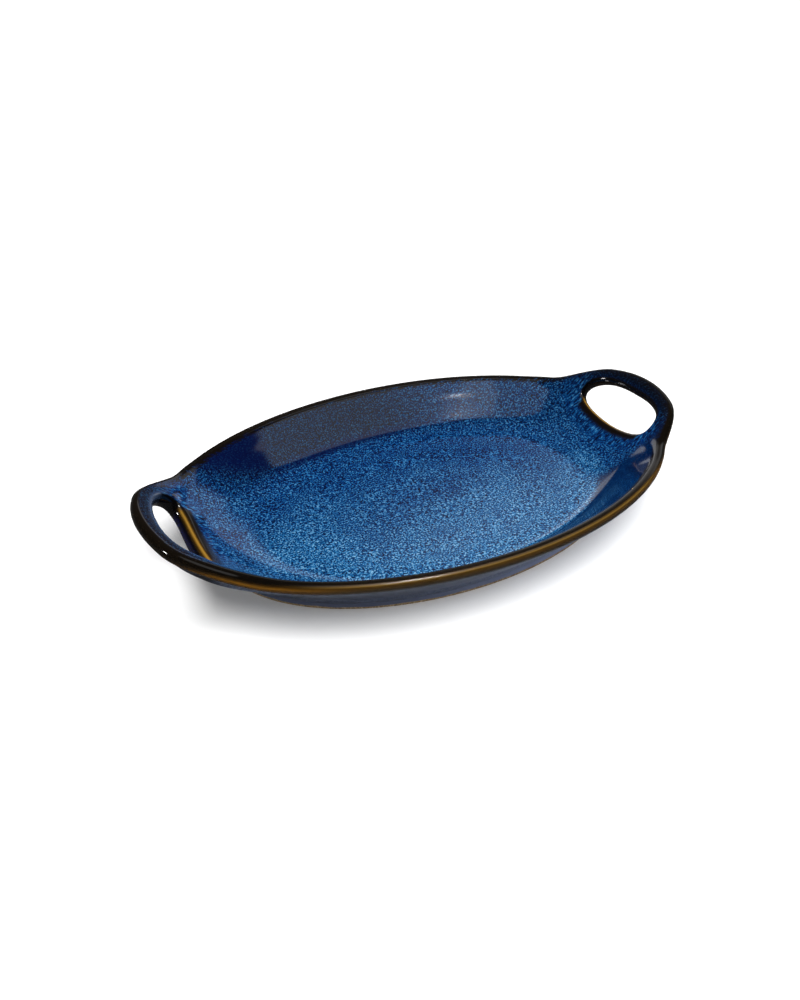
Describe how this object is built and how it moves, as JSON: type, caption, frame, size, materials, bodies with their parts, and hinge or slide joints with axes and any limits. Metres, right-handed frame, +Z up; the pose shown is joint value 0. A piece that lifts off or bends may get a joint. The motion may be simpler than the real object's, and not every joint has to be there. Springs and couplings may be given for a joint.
{
  "type": "oval serving platter",
  "caption": "Oval stoneware serving platter with a shallow dish, a rolled rim and a raised strap handle with a finger hole at each end, on a low foot ring.",
  "frame": {"origin": "on the table, under the middle of the dish", "axes": "+X along the length towards the right handle, +Y across the width, +Z up"},
  "size_m": [0.303, 0.19, 0.0444],
  "materials": {
    "reactive_glaze": "glossy blue reactive glaze with fine speckle, breaking to amber and dark brown over the rim and handle edges",
    "bare_stoneware": "unglazed buff stoneware, wiped clean where it meets the table"
  },
  "bodies": {
    "root": {"dish_body": "reactive_glaze", "handle_left": "reactive_glaze", "handle_right": "reactive_glaze", "foot_ring": "bare_stoneware"}
  },
  "joints": []
}
